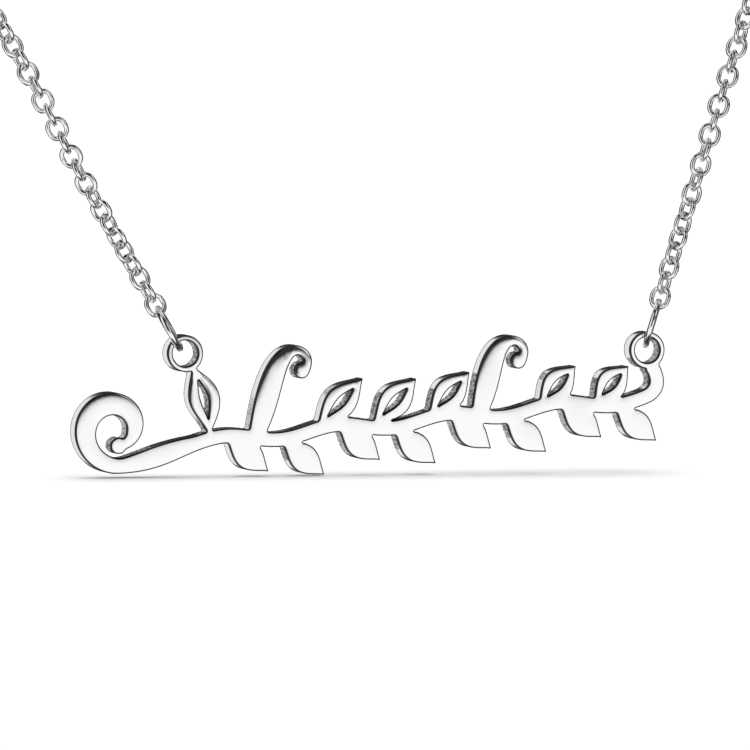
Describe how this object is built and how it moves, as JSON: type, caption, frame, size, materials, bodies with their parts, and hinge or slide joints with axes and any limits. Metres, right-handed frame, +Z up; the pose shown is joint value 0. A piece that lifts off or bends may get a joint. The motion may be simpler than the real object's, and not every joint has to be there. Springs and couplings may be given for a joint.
{
  "type": "nameplate necklace",
  "caption": "Cable chain necklace with a pierced scrollwork nameplate hung between the strands by an eyelet and jump ring at each end, closed at the nape by a ring clasp.",
  "frame": {"origin": "the nape of the neck, in the middle of the clasp's ring, where the worn chain hangs from", "axes": "+Z up, -Y forward, out of the plate's polished face, +X to the right as one looks at that face"},
  "size_m": [0.121, 0.1115, 0.103],
  "materials": {
    "plate_silver": "bright polished silver, sawn walls left grainy inside the openings",
    "ring_silver": "bright polished silver wire",
    "chain_silver": "bright polished silver wire",
    "clasp_silver": "bright polished silver"
  },
  "bodies": {
    "root": {"nameplate": "plate_silver", "jump_ring_left": "ring_silver", "jump_ring_right": "ring_silver", "chain_left": "chain_silver", "chain_right": "chain_silver", "chain_back_left": "chain_silver", "chain_back_right": "chain_silver", "clasp": "clasp_silver", "end_ring": "clasp_silver"}
  },
  "joints": []
}
